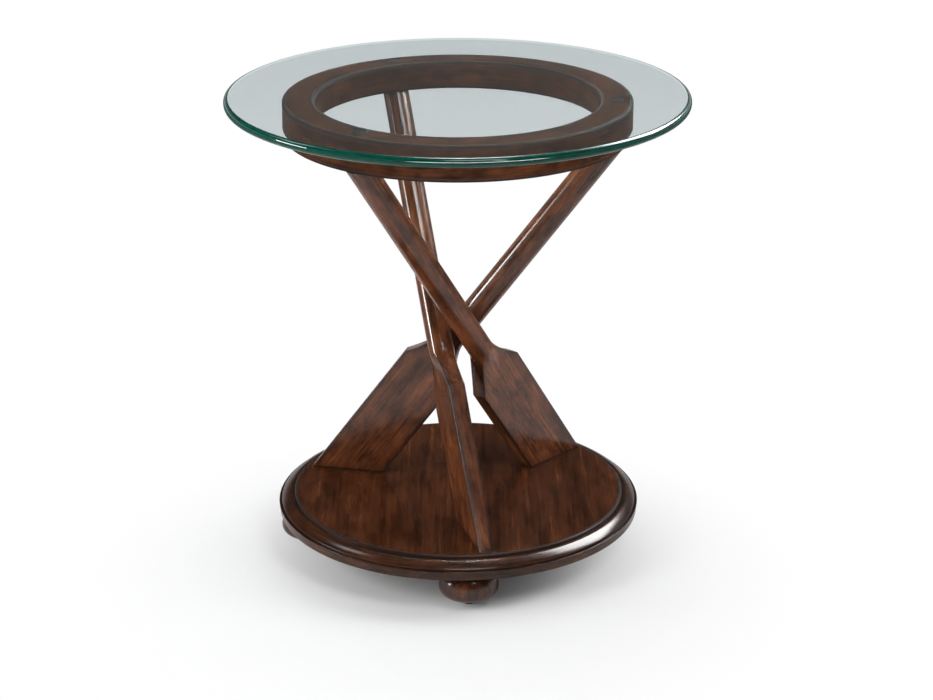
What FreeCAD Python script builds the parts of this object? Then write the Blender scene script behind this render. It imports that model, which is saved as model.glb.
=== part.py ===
import FreeCAD, Part
import math
import operator
import os

import Sketcher

# Round end table: a glass disc on a wooden ring, carried by three crossed oars that stand
# on a round base with bun feet.
# Millimetres, +Z up, origin on the floor under the middle of the table.

OAR_COUNT = 3
FOOT_COUNT = 4
FULL_TURN = 360.0
SQUARE_ANGLE = 90.0

# How far a quarter circle of radius 1 leaves its chord.
QUARTER_CROWN = 1 - math.sqrt(0.5)

# Where the sections of an oar's shoulder stand, as shares of its length from the blade.
SHOULDER_STATIONS = (0.0, 0.2, 0.45, 0.7, 1.0)

# How fast a shoulder's sides leave the shaft: the power of the share that is left of its length.
FLARE_POWER = 1.5

# A level saw cut is a round pocket this many times wider than the wood that it cuts.
SAW_ROOM = 3

# Driving dimensions, in millimetres and degrees.
DRIVING = {
    # whole table
    "table_height": 622.0,
    # glass disc with a pencil edge
    "glass_diameter": 596.0,
    "glass_thickness": 12.0,
    "glass_edge_radius": 5.5,
    # soft bumpers under the glass
    "bumper_diameter": 17.0,
    "bumper_height": 3.0,
    "bumper_edge": 0.8,
    "bumper_stem_length": 3.5,
    # wooden ring under the glass
    "ring_outer_diameter": 448.0,
    "ring_width": 42.0,
    "ring_height": 37.0,
    "ring_edge_radius": 3.0,
    # oars, each in an upright plane that passes beside the middle of the table
    "oar_heading": 107.2,
    "oar_axis_offset": 26.8,
    "oar_foot_radius": 164.4,
    "shaft_diameter": 34.0,
    "blade_width": 81.5,
    "blade_shift": 1.5,
    "blade_setback": 1.0,
    "blade_thickness": 22.4,
    "blade_foot_thickness": 21.4,
    "blade_length": 195.0,
    "blade_edge_crown": 0.8,
    "blade_face_crown": 0.3,
    "shoulder_length": 55.0,
    # round base: a panel with a moulded rim
    "base_diameter": 484.0,
    "base_thickness": 25.0,
    "panel_edge_ease": 1.0,
    "rim_width": 21.0,
    "rim_quirk_depth": 3.6,
    "rim_bevel_width": 11.9,
    "rim_bevel_crown": 0.4,
    "rim_bevel_step": 2.4,
    "rim_ledge_width": 3.6,
    "rim_face_height": 11.8,
    "rim_face_undercut": 1.2,
    "rim_edge_ease": 0.8,
    "tongue_width": 6.0,
    "tongue_height": 12.0,
    "glue_gap": 0.15,
    # bun feet with nail glides
    "foot_height": 50.0,
    "foot_diameter": 78.0,
    "foot_top_diameter": 54.0,
    "foot_bottom_diameter": 18.0,
    "foot_widest_height": 26.0,
    "foot_belly_diameter": 61.0,
    "foot_belly_height": 13.2,
    "foot_under_crown": 1.05,
    "foot_circle_radius": 200.0,
    "foot_first_angle": -86.0,
    "glide_diameter": 16.0,
    "glide_height": 6.0,
    "glide_edge": 1.0,
    "nail_diameter": 2.5,
    "nail_length": 12.0,
    # bolts, washers and threaded inserts
    "bolt_diameter": 6.0,
    "bolt_head_diameter": 10.0,
    "bolt_head_height": 6.0,
    "socket_diameter": 5.0,
    "socket_depth": 3.0,
    "bolt_engagement": 12.0,
    "washer_diameter": 14.0,
    "washer_thickness": 1.6,
    "counterbore_diameter": 15.0,
    "ring_counterbore_depth": 12.0,
    "panel_counterbore_depth": 9.0,
    "insert_diameter": 10.0,
    "insert_length": 14.0,
    "insert_pocket_depth": 15.0,
    "blade_bolt_spacing": 46.0,
    "hanger_diameter": 8.0,
    "hanger_length_in_foot": 26.0,
    "foot_insert_diameter": 12.0,
    "foot_insert_length": 16.0,
    "hanger_end_room": 1.0,
    "bolt_clearance": 0.5,
    "thread_clearance": 0.1,
}

doc = FreeCAD.newDocument("round_end_table")
sheet = doc.addObject("Spreadsheet::Sheet", "dims")
for row, (alias, number) in enumerate(DRIVING.items(), start=1):
    sheet.set(f"A{row}", alias)
    sheet.set(f"B{row}", str(number))
    sheet.setAlias(f"B{row}", alias)
doc.recompute()


class Size:
    """A size with its number now and the sheet expression that it comes from."""

    def __init__(self, value, text):
        self.value = value
        self.text = text


def as_size(thing):
    return thing if isinstance(thing, Size) else Size(float(thing), f"{float(thing):.9g}")


def combined(sign, function):
    def forward(left, right):
        left, right = as_size(left), as_size(right)
        return Size(function(left.value, right.value), f"({left.text} {sign} {right.text})")

    return forward, lambda right, left: forward(left, right)


Size.__add__, Size.__radd__ = combined("+", operator.add)
Size.__sub__, Size.__rsub__ = combined("-", operator.sub)
Size.__mul__, Size.__rmul__ = combined("*", operator.mul)
Size.__truediv__, Size.__rtruediv__ = combined("/", operator.truediv)


def root(size):
    return Size(math.sqrt(size.value), f"sqrt({size.text})")


def dim(alias):
    return Size(float(sheet.get(alias)), f"dims.{alias}")


def radius(alias):
    return dim(alias) / 2


# Levels above the floor.
panel_bottom = dim("foot_height")
panel_top = panel_bottom + dim("base_thickness")
glass_bottom = dim("table_height") - dim("glass_thickness")
ring_top = glass_bottom - dim("bumper_height")
ring_bottom = ring_top - dim("ring_height")

# Rings seen from above.
ring_middle_radius = radius("ring_outer_diameter") - dim("ring_width") / 2
rim_inner_radius = radius("base_diameter") - dim("rim_width")
rebate_radius = rim_inner_radius + dim("tongue_width")


# An oar's axis runs from the panel to the middle of the ring, past the table's middle.
def run_to(reach):
    """How far along an oar's line on the floor a given radius lies from the point nearest the middle."""
    return root(reach * reach - dim("oar_axis_offset") * dim("oar_axis_offset"))


foot_run = run_to(dim("oar_foot_radius"))
head_run = run_to(ring_middle_radius)
oar_run = foot_run + head_run
oar_rise = ring_bottom - panel_top
oar_length = root(oar_run * oar_run + oar_rise * oar_rise)
lean = SQUARE_ANGLE - math.degrees(math.atan2(oar_rise.value, oar_run.value))
head_turn = math.degrees(math.atan2(dim("oar_axis_offset").value, head_run.value))

# Holes for the hardware.
bolt_hole_diameter = dim("bolt_diameter") + 2 * dim("bolt_clearance")
insert_hole_diameter = dim("insert_diameter") + 2 * dim("thread_clearance")
foot_insert_hole_diameter = dim("foot_insert_diameter") + 2 * dim("thread_clearance")
hanger_hole_diameter = dim("hanger_diameter") + 2 * dim("thread_clearance")
hanger_length_in_panel = dim("foot_insert_length") - dim("hanger_end_room")


def new_body(label):
    body = doc.addObject("PartDesign::Body", label)
    body.Label = label
    return body


def new_sketch(body, name, role, height=None, turn=None):
    """An empty sketch on an origin plane, lifted to a height and turned if asked."""
    sketch = body.newObject("Sketcher::SketchObject", name)
    plane = next(plane for plane in body.Origin.OriginFeatures if plane.Role == role)
    sketch.AttachmentSupport = [(plane, "")]
    sketch.MapMode = "FlatFace"
    if turn is not None:
        sketch.AttachmentOffset = turn
    if height is not None:
        sketch.setExpression("AttachmentOffset.Base.z", height.text)
    return sketch


def bind(sketch, kind, places, size):
    """A dimension of a sketch that follows the sheet."""
    index = sketch.addConstraint(Sketcher.Constraint(kind, *places, size.value))
    sketch.setExpression(f"Constraints[{index}]", size.text)


def pin_corner(sketch, edge, end, corner):
    """Holds one end of an edge at its two coordinates."""
    for kind, axis, place in (("DistanceX", -2, corner[0]), ("DistanceY", -1, corner[1])):
        if isinstance(place, Size):
            bind(sketch, kind, (-1, 1, edge, end), place)
        else:
            sketch.addConstraint(Sketcher.Constraint("PointOnObject", edge, end, axis))


def arc_between(start, end, sagitta):
    """An arc that leaves its chord by the sagitta, to the right of its travel."""
    chord = end - start
    middle = (start + end) / 2
    reach = chord.Length
    bend = (reach * reach / 4 + sagitta * sagitta) / (2 * sagitta)
    right = FreeCAD.Vector(chord.y, -chord.x, 0) / reach
    centre = middle + right * (sagitta - bend)
    first = math.atan2(start.y - centre.y, start.x - centre.x)
    last = math.atan2(end.y - centre.y, end.x - centre.x)
    circle = Part.Circle(centre, FreeCAD.Vector(0, 0, 1), bend)
    return Part.ArcOfCircle(circle, first, last)


def draw(sketch, corners):
    """A closed outline, run counterclockwise. Each corner is x, y and, for an edge that bulges
    outward on its way to the next corner, the height of the bulge. A plain 0 lies on an axis."""
    points = [FreeCAD.Vector(as_size(c[0]).value, as_size(c[1]).value, 0) for c in corners]
    count = len(corners)
    for index, corner in enumerate(corners):
        start, end = points[index], points[(index + 1) % count]
        if len(corner) > 2:
            edge = arc_between(start, end, corner[2].value)
        else:
            edge = Part.LineSegment(start, end)
        sketch.addGeometry(edge)
    for index, corner in enumerate(corners):
        following = (index + 1) % count
        sketch.addConstraint(Sketcher.Constraint("Coincident", index, 2, following, 1))
        pin_corner(sketch, index, 1, corner)
        if len(corner) > 2:
            across = as_size(corners[following][0]) - corner[0]
            along = as_size(corners[following][1]) - corner[1]
            bend = (across * across + along * along) / (8 * corner[2]) + corner[2] / 2
            bind(sketch, "Radius", (index,), bend)


def draw_circles(sketch, places, diameter):
    """Equal circles, each centred at x on the sketch's horizontal axis."""
    for index, place in enumerate(places):
        centre = FreeCAD.Vector(as_size(place).value, 0, 0)
        sketch.addGeometry(Part.Circle(centre, FreeCAD.Vector(0, 0, 1), diameter.value / 2))
        pin_corner(sketch, index, 3, (place, 0))
        bind(sketch, "Radius", (index,), diameter / 2)


def turned(label, corners):
    """A piece turned about the upright axis from its half section."""
    body = new_body(label)
    sketch = new_sketch(body, f"{label}_section", "XZ_Plane")
    draw(sketch, corners)
    spun = body.newObject("PartDesign::Revolution", f"{label}_turning")
    spun.Profile = sketch
    spun.ReferenceAxis = (sketch, ["V_Axis"])
    spun.Angle = FULL_TURN
    doc.recompute()
    return body


def pocket(body, sketch, depth=None, upward=False):
    """A straight cut from a sketch, to a depth or right through, which has to remove something."""
    before = body.Shape.Volume
    cut = body.newObject("PartDesign::Pocket", f"{sketch.Name}_cut")
    cut.Profile = sketch
    cut.Reversed = upward
    if depth is None:
        cut.Type = "ThroughAll"
    else:
        cut.setExpression("Length", depth.text)
    doc.recompute()
    if not body.Shape.Volume < before:
        raise RuntimeError(f"{sketch.Name} cuts nothing")
    return cut


def repeat_round(body, features, count):
    """Copies of features, evenly spaced about the upright axis."""
    pattern = body.newObject("PartDesign::PolarPattern", f"{body.Name}_round")
    pattern.Originals = features
    upright = next(axis for axis in body.Origin.OriginFeatures if axis.Role == "Z_Axis")
    pattern.Axis = (upright, [""])
    pattern.Angle = FULL_TURN
    pattern.Occurrences = count
    body.Tip = pattern
    doc.recompute()


def upright_at(height, turn=0.0):
    """A place on the table's middle axis."""
    return FreeCAD.Placement(
        FreeCAD.Vector(0, 0, height.value), FreeCAD.Rotation(FreeCAD.Vector(0, 0, 1), turn)
    )


def on_circle(reach, angle, height):
    """An upright place at a radius and an angle round the table."""
    spin = FreeCAD.Rotation(FreeCAD.Vector(0, 0, 1), angle)
    return FreeCAD.Placement(spin.multVec(FreeCAD.Vector(reach.value, 0, height.value)), spin)


def oar_heading(index):
    return dim("oar_heading").value + index * FULL_TURN / OAR_COUNT


def oar_plan_point(index, run, height):
    """A point over an oar's line on the floor, the run measured inward from the oar's foot."""
    turn = FreeCAD.Rotation(FreeCAD.Vector(0, 0, 1), oar_heading(index))
    along = run - foot_run.value
    return turn.multVec(FreeCAD.Vector(along, dim("oar_axis_offset").value, height.value))


def head_places(height):
    """The three places above the oars' heads, on the middle of the ring."""
    return [FreeCAD.Placement(oar_plan_point(index, oar_run.value, height), FreeCAD.Rotation())
            for index in range(OAR_COUNT)]


def blade_places(height):
    """The two bolt places under each blade."""
    reach = dim("blade_bolt_spacing").value / 2
    return [FreeCAD.Placement(oar_plan_point(index, run, height), FreeCAD.Rotation())
            for index in range(OAR_COUNT) for run in (-reach, reach)]


def foot_places(height):
    first = dim("foot_first_angle").value
    return [on_circle(dim("foot_circle_radius"), first + index * FULL_TURN / FOOT_COUNT, height)
            for index in range(FOOT_COUNT)]


def group(label, pattern_piece, places):
    """Identical pieces of hardware in one node, each its own solid."""
    node = doc.addObject("Part::Feature", label)
    node.Label = label
    solids = []
    for place in places:
        solid = pattern_piece.Shape.copy()
        solid.Placement = place.multiply(solid.Placement)
        solids.append(solid)
    node.Shape = Part.makeCompound(solids)
    return node


# The glass disc, with a rounded pencil edge.
def make_glass():
    outer = radius("glass_diameter")
    ease = dim("glass_edge_radius")
    crown = ease * QUARTER_CROWN
    top = dim("glass_thickness")
    glass = turned("glass_top", [
        (0, 0),
        (outer - ease, 0, crown),
        (outer, ease),
        (outer, top - ease, crown),
        (outer - ease, top),
        (0, top),
    ])
    glass.Placement = upright_at(glass_bottom)
    return [glass]


# A soft bumper on the ring, with a stem that plugs the bolt's counterbore.
def make_bumpers():
    stem = radius("counterbore_diameter") - dim("bolt_clearance") / 2
    bumpers = []
    for index, place in enumerate(head_places(ring_top), start=1):
        bumper = turned(f"glass_bumper_{index}", [
            (0, 0 - dim("bumper_stem_length")),
            (stem, 0 - dim("bumper_stem_length")),
            (stem, 0),
            (radius("bumper_diameter"), 0),
            (radius("bumper_diameter"), dim("bumper_height") - dim("bumper_edge")),
            (radius("bumper_diameter") - dim("bumper_edge"), dim("bumper_height")),
            (0, dim("bumper_height")),
        ])
        bumper.Placement = place
        bumpers.append(bumper)
    return bumpers


# The wooden ring, with a counterbored bolt hole over each oar.
def make_ring():
    outer = radius("ring_outer_diameter")
    inner = outer - dim("ring_width")
    ease = dim("ring_edge_radius")
    crown = ease * QUARTER_CROWN
    top = dim("ring_height")
    ring = turned("top_ring", [
        (inner + ease, 0),
        (outer - ease, 0, crown),
        (outer, ease),
        (outer, top - ease, crown),
        (outer - ease, top),
        (inner + ease, top, crown),
        (inner, top - ease),
        (inner, ease, crown),
    ])
    counterbore = new_sketch(ring, "ring_counterbore", "XY_Plane", dim("ring_height"))
    draw_circles(counterbore, [ring_middle_radius], dim("counterbore_diameter"))
    wide = pocket(ring, counterbore, dim("ring_counterbore_depth"))
    bolt_hole = new_sketch(ring, "ring_bolt_hole", "XY_Plane", dim("ring_height"))
    draw_circles(bolt_hole, [ring_middle_radius], bolt_hole_diameter)
    narrow = pocket(ring, bolt_hole)
    repeat_round(ring, [wide, narrow], OAR_COUNT)
    ring.Placement = upright_at(ring_bottom, dim("oar_heading").value + head_turn)
    return [ring]


# One cross section of an oar: four arcs, which make a circle in the shaft and a thin crowned
# slab in the blade. The blade's middle lies a little beside the shaft's axis, and flat counts
# how far the section is a blade, from 0 in the shaft to 1.
def oar_section(body, name, height, half_width, half_thickness, edge_crown, face_crown, flat):
    sketch = new_sketch(body, name, "XY_Plane", height)
    wide = half_width - edge_crown
    thick = half_thickness - face_crown
    across = dim("blade_shift") * flat
    back = dim("blade_setback") * flat
    draw(sketch, [
        (across - wide, 0 - back - thick, face_crown),
        (across + wide, 0 - back - thick, edge_crown),
        (across + wide, thick - back, face_crown),
        (across - wide, thick - back, edge_crown),
    ])
    return sketch


# The carved shoulder, where the round shaft flares into the flat blade: its sides follow a
# curve that leaves the shaft without a corner, and its thickness eases from one to the other.
def shoulder_sections(body):
    shaft = radius("shaft_diameter")
    flare = radius("blade_width") - shaft
    round_crown = shaft * QUARTER_CROWN
    sections = []
    for number, station in enumerate(SHOULDER_STATIONS):
        late = station * station
        ease = late * late * (3 - 2 * late)
        half_width = shaft + flare * (1 - station) ** FLARE_POWER
        half_thickness = radius("blade_thickness") * (1 - ease) + shaft * ease
        edge_crown = dim("blade_edge_crown") * (1 - ease) + round_crown * ease
        face_crown = dim("blade_face_crown") * (1 - ease) + round_crown * ease
        height = dim("blade_length") + dim("shoulder_length") * station
        name = f"{body.Name}_section_{number}"
        sections.append(oar_section(
            body, name, height, half_width, half_thickness, edge_crown, face_crown, 1 - ease,
        ))
    return sections


# The blade is planed thinner from its shoulder to its foot. It is drawn past the foot, where
# the saw cuts it.
def blade_end_section(body):
    past_foot = dim("blade_width")
    thinning = (radius("blade_thickness") - radius("blade_foot_thickness")) / dim("blade_length")
    half_thickness = radius("blade_foot_thickness") - thinning * past_foot
    return oar_section(
        body, f"{body.Name}_blade_end", 0 - past_foot, radius("blade_width"), half_thickness,
        dim("blade_edge_crown"), dim("blade_face_crown"), 1,
    )


# An oar stands on its blade, sawn level at the panel and at the ring, with threaded inserts
# let into both ends. Its own axis is the body's Z axis, from the middle of its foot.
def make_oar(index):
    body = new_body(f"oar_{index + 1}")
    sections = shoulder_sections(body)
    blade_end = blade_end_section(body)
    doc.recompute()

    blade = body.newObject("PartDesign::AdditiveLoft", f"{body.Name}_blade")
    blade.Profile = sections[0]
    blade.Sections = [blade_end]
    blade.Ruled = True

    shoulder = body.newObject("PartDesign::AdditiveLoft", f"{body.Name}_shoulder")
    shoulder.Profile = sections[0]
    shoulder.Sections = sections[1:]

    shaft = body.newObject("PartDesign::Pad", f"{body.Name}_shaft")
    shaft.Profile = sections[-1]
    shaft_start = dim("blade_length") + dim("shoulder_length")
    shaft.setExpression("Length", (oar_length + dim("shaft_diameter") - shaft_start).text)
    doc.recompute()

    level = FreeCAD.Placement(FreeCAD.Vector(), FreeCAD.Rotation(FreeCAD.Vector(0, 1, 0), -lean))
    foot_saw = new_sketch(body, f"{body.Name}_foot_saw", "XY_Plane", None, level)
    draw_circles(foot_saw, [0], SAW_ROOM * dim("blade_width"))
    pocket(body, foot_saw)
    head_saw = new_sketch(body, f"{body.Name}_head_saw", "XY_Plane", oar_length, level)
    draw_circles(head_saw, [0], SAW_ROOM * dim("shaft_diameter"))
    pocket(body, head_saw, None, upward=True)

    foot_holes = new_sketch(body, f"{body.Name}_foot_holes", "XY_Plane", None, level)
    reach = dim("blade_bolt_spacing") / 2
    draw_circles(foot_holes, [0 - reach, reach], insert_hole_diameter)
    pocket(body, foot_holes, dim("insert_pocket_depth"), upward=True)
    head_hole = new_sketch(body, f"{body.Name}_head_hole", "XY_Plane", oar_length, level)
    draw_circles(head_hole, [0], insert_hole_diameter)
    pocket(body, head_hole, dim("insert_pocket_depth"))

    stance = FreeCAD.Rotation(oar_heading(index), lean, 0)
    body.Placement = FreeCAD.Placement(oar_plan_point(index, 0, panel_top), stance)
    return body


# The round panel of the base, with a tongue round its edge for the rim.
def make_base_panel():
    edge = rim_inner_radius - dim("glue_gap")
    tongue = rebate_radius - dim("glue_gap")
    panel = turned("base_panel", [
        (0, 0),
        (tongue, 0),
        (tongue, dim("tongue_height")),
        (edge, dim("tongue_height")),
        (edge, dim("base_thickness") - dim("panel_edge_ease")),
        (edge - dim("panel_edge_ease"), dim("base_thickness")),
        (0, dim("base_thickness")),
    ])
    under_blade = FreeCAD.Placement(
        oar_plan_point(0, 0, as_size(0)),
        FreeCAD.Rotation(FreeCAD.Vector(0, 0, 1), dim("oar_heading").value),
    )
    reach = dim("blade_bolt_spacing") / 2
    counterbore = new_sketch(panel, "panel_counterbore", "XY_Plane", None, under_blade)
    draw_circles(counterbore, [0 - reach, reach], dim("counterbore_diameter"))
    wide = pocket(panel, counterbore, dim("panel_counterbore_depth"), upward=True)
    bolt_hole = new_sketch(panel, "panel_bolt_hole", "XY_Plane", None, under_blade)
    draw_circles(bolt_hole, [0 - reach, reach], bolt_hole_diameter)
    narrow = pocket(panel, bolt_hole, None, upward=True)
    repeat_round(panel, [wide, narrow], OAR_COUNT)

    over_foot = upright_at(as_size(0), dim("foot_first_angle").value)
    insert_hole = new_sketch(panel, "panel_foot_insert_hole", "XY_Plane", None, over_foot)
    draw_circles(insert_hole, [dim("foot_circle_radius")], foot_insert_hole_diameter)
    hole = pocket(panel, insert_hole, dim("foot_insert_length"), upward=True)
    repeat_round(panel, [hole], FOOT_COUNT)
    panel.Placement = upright_at(panel_bottom)
    return [panel]


# The moulded rim: below the panel's edge a bevel runs down to a ledge over an undercut face.
# It is rebated to sit on the panel's tongue.
def make_base_rim():
    outer = radius("base_diameter")
    face_foot = outer - dim("rim_face_undercut")
    face_top = dim("rim_face_height")
    ledge = outer - dim("rim_ledge_width")
    bevel_top = dim("base_thickness") - dim("rim_quirk_depth")
    ease = dim("rim_edge_ease")
    rim = turned("base_rim", [
        (rebate_radius, 0),
        (face_foot - ease, 0),
        (face_foot, ease),
        (outer, face_top - ease),
        (outer - ease, face_top),
        (ledge, face_top),
        (ledge, face_top + dim("rim_bevel_step"), dim("rim_bevel_crown")),
        (ledge - dim("rim_bevel_width"), bevel_top),
        (rim_inner_radius, bevel_top),
        (rim_inner_radius, dim("tongue_height")),
        (rebate_radius, dim("tongue_height")),
    ])
    rim.Placement = upright_at(panel_bottom)
    return [rim]


def bulge(first, second):
    """How far an arc that is upright at the wide end leaves its chord."""
    across = first[0] - second[0]
    along = first[1] - second[1]
    chord = root(across * across + along * along)
    bend = (across * across + along * along) / (2 * across)
    return bend - root(bend * bend - chord * chord / 4)


# The turned bun feet, with a hole for the hanger bolt above and the glide's nail below.
def make_feet():
    feet = []
    wood_height = dim("foot_height") - dim("glide_height")
    hanger_hole = hanger_hole_diameter / 2
    nail_hole = radius("nail_diameter") + dim("thread_clearance")
    nail_top = dim("nail_length") + dim("thread_clearance")
    hanger_floor = wood_height - dim("hanger_length_in_foot") - dim("thread_clearance")
    bottom = (radius("foot_bottom_diameter"), 0)
    belly = (radius("foot_belly_diameter"), dim("foot_belly_height") - dim("glide_height"))
    widest = (radius("foot_diameter"), dim("foot_widest_height") - dim("glide_height"))
    top = (radius("foot_top_diameter"), wood_height)
    for index, place in enumerate(foot_places(dim("glide_height")), start=1):
        foot = turned(f"bun_foot_{index}", [
            (0, nail_top),
            (nail_hole, nail_top),
            (nail_hole, 0),
            (*bottom, dim("foot_under_crown")),
            (*belly, bulge(widest, belly)),
            (*widest, bulge(widest, top)),
            top,
            (hanger_hole, wood_height),
            (hanger_hole, hanger_floor),
            (0, hanger_floor),
        ])
        foot.Placement = place
        feet.append(foot)
    return feet


# A glide under each foot, moulded on a nail.
def make_glides():
    glides = []
    for index, place in enumerate(foot_places(as_size(0)), start=1):
        glide = turned(f"foot_glide_{index}", [
            (0, 0),
            (radius("glide_diameter") - dim("glide_edge"), 0),
            (radius("glide_diameter"), dim("glide_edge")),
            (radius("glide_diameter"), dim("glide_height")),
            (radius("nail_diameter"), dim("glide_height")),
            (radius("nail_diameter"), dim("glide_height") + dim("nail_length")),
            (0, dim("glide_height") + dim("nail_length")),
        ])
        glide.Placement = place
        glides.append(glide)
    return glides


def bolt_pattern(label, grip):
    """A socket head bolt that hangs down from its head, which rests at height 0."""
    shank = grip + dim("washer_thickness") + dim("bolt_engagement")
    return turned(label, [
        (0, 0 - shank),
        (radius("bolt_diameter"), 0 - shank),
        (radius("bolt_diameter"), 0),
        (radius("bolt_head_diameter"), 0),
        (radius("bolt_head_diameter"), dim("bolt_head_height")),
        (radius("socket_diameter"), dim("bolt_head_height")),
        (radius("socket_diameter"), dim("bolt_head_height") - dim("socket_depth")),
        (0, dim("bolt_head_height") - dim("socket_depth")),
    ])


def tube_pattern(label, inner, outer, length):
    return turned(label, [(inner, 0), (outer, 0), (outer, length), (inner, length)])


def upside_down(places):
    over = FreeCAD.Rotation(FreeCAD.Vector(1, 0, 0), 2 * SQUARE_ANGLE)
    flip = FreeCAD.Placement(FreeCAD.Vector(), over)
    return [place.multiply(flip) for place in places]


# The bolts, washers and threaded inserts that hold the wood together.
def make_hardware():
    ring_grip = dim("ring_height") - dim("ring_counterbore_depth")
    panel_grip = dim("base_thickness") - dim("panel_counterbore_depth")
    ring_seat = ring_bottom + ring_grip
    panel_seat = panel_bottom + dim("panel_counterbore_depth")
    thread = dim("thread_clearance")
    ring_bolt = bolt_pattern("ring_bolt_pattern", ring_grip)
    blade_bolt = bolt_pattern("blade_bolt_pattern", panel_grip)
    washer = tube_pattern(
        "washer_pattern", bolt_hole_diameter / 2, radius("washer_diameter"), dim("washer_thickness")
    )
    insert = tube_pattern(
        "insert_pattern", radius("bolt_diameter") + thread, radius("insert_diameter"),
        dim("insert_length"),
    )
    foot_insert = tube_pattern(
        "foot_insert_pattern", radius("hanger_diameter") + thread, radius("foot_insert_diameter"),
        dim("foot_insert_length"),
    )
    hanger = turned("hanger_pattern", [
        (0, 0 - dim("hanger_length_in_foot")),
        (radius("hanger_diameter"), 0 - dim("hanger_length_in_foot")),
        (radius("hanger_diameter"), hanger_length_in_panel),
        (0, hanger_length_in_panel),
    ])
    under_ring_head = ring_seat + dim("washer_thickness")
    under_panel_head = panel_seat - dim("washer_thickness")
    return [
        group("ring_bolts", ring_bolt, head_places(under_ring_head)),
        group("ring_washers", washer, head_places(ring_seat)),
        group("oar_head_inserts", insert, upside_down(head_places(ring_bottom))),
        group("blade_bolts", blade_bolt, upside_down(blade_places(under_panel_head))),
        group("blade_washers", washer, blade_places(under_panel_head)),
        group("blade_foot_inserts", insert, blade_places(panel_top)),
        group("foot_hanger_bolts", hanger, foot_places(panel_bottom)),
        group("foot_inserts", foot_insert, foot_places(panel_bottom)),
    ]


def check_document():
    for item in doc.Objects:
        if "Invalid" in item.State or "Error" in item.State:
            raise RuntimeError(f"{item.Label} failed to build")


def write_nodes(nodes):
    for node in nodes:
        if node.Shape.isNull() or not node.Shape.isValid():
            raise RuntimeError(f"{node.Label} has no valid shape")
    os.makedirs("parts", exist_ok=True)
    for node in nodes:
        node.Shape.exportStep(os.path.join("parts", f"{node.Label}.step"))


nodes = make_glass() + make_bumpers() + make_ring()
nodes += [make_oar(index) for index in range(OAR_COUNT)]
nodes += make_base_panel() + make_base_rim() + make_feet() + make_glides() + make_hardware()
doc.recompute()
check_document()
write_nodes(nodes)
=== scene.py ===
import math

import bpy
from mathutils import Matrix, Vector


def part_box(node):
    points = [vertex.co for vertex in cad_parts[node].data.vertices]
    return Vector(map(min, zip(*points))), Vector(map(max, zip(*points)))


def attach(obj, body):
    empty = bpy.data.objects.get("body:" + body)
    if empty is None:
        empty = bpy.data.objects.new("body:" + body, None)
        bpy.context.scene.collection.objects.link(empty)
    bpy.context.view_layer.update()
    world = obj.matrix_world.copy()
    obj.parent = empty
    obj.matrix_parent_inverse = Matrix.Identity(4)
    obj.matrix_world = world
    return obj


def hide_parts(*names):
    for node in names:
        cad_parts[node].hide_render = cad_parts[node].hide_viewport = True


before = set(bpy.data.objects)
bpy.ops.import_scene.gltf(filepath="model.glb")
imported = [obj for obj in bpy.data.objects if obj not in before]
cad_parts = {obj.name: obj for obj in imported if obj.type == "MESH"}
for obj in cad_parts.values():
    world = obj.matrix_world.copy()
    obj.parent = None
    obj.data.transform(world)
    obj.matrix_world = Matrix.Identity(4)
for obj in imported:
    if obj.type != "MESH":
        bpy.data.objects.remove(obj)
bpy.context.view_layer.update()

# The looks of the round end table, in metres in the part's own frame: +Z up, the floor at 0
# and the viewer at -Y. The oars, the rim and the glass are rebuilt with eased edges; the other
# pieces keep their solids and get a finish.

MM = 0.001

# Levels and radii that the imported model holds.
ring_low, ring_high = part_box("top_ring")
panel_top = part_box("base_panel")[1].z
rim_low, rim_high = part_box("base_rim")
glass_low, glass_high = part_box("glass_top")
ring_outer = ring_high.x
base_radius = min(-rim_low.x, -rim_low.y, rim_high.x, rim_high.y)
glass_radius = min(-glass_low.x, -glass_low.y, glass_high.x, glass_high.y)

# Oars.
OAR_COUNT = 3
OAR_HEADING = math.radians(107.2)
OAR_AXIS_OFFSET = 26.8 * MM
OAR_FOOT_RADIUS = 164.4 * MM
RING_WIDTH = 42.0 * MM
SHAFT_RADIUS = 17.0 * MM
BLADE_HALF_WIDTH = 40.75 * MM
BLADE_SHIFT = 1.5 * MM
BLADE_SETBACK = 1.0 * MM
SHOULDER_HALF_THICKNESS = 11.2 * MM
FOOT_HALF_THICKNESS = 10.7 * MM
BLADE_LENGTH = 195.0 * MM
BLADE_EDGE_CROWN = 0.3 * MM
BLADE_FACE_CROWN = 0.3 * MM
SHOULDER_LENGTH = 55.0 * MM
FLARE_POWER = 1.5
QUARTER_CROWN = 1 - math.sqrt(0.5)
EDGE_EASE = 1.2 * MM
CORNER_EASE = 1.0 * MM

# Rim of the base.
RIM_WIDTH = 21.0 * MM
QUIRK_DEPTH = 3.6 * MM
BEVEL_WIDTH = 11.9 * MM
BEVEL_CROWN = 0.9 * MM
BEVEL_STEP = 2.4 * MM
BEVEL_TOP_EASE = 0.8 * MM
BEVEL_FOOT_EASE = 0.5 * MM
LEDGE_WIDTH = 3.6 * MM
FACE_HEIGHT = 11.8 * MM
FACE_UNDERCUT = 1.2 * MM
FACE_TOP_EASE = 0.6 * MM
FACE_FOOT_EASE = 0.8 * MM
TONGUE_WIDTH = 6.0 * MM
TONGUE_HEIGHT = 12.0 * MM

# Glass.
GLASS_EDGE_RADIUS = 5.5 * MM

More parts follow.
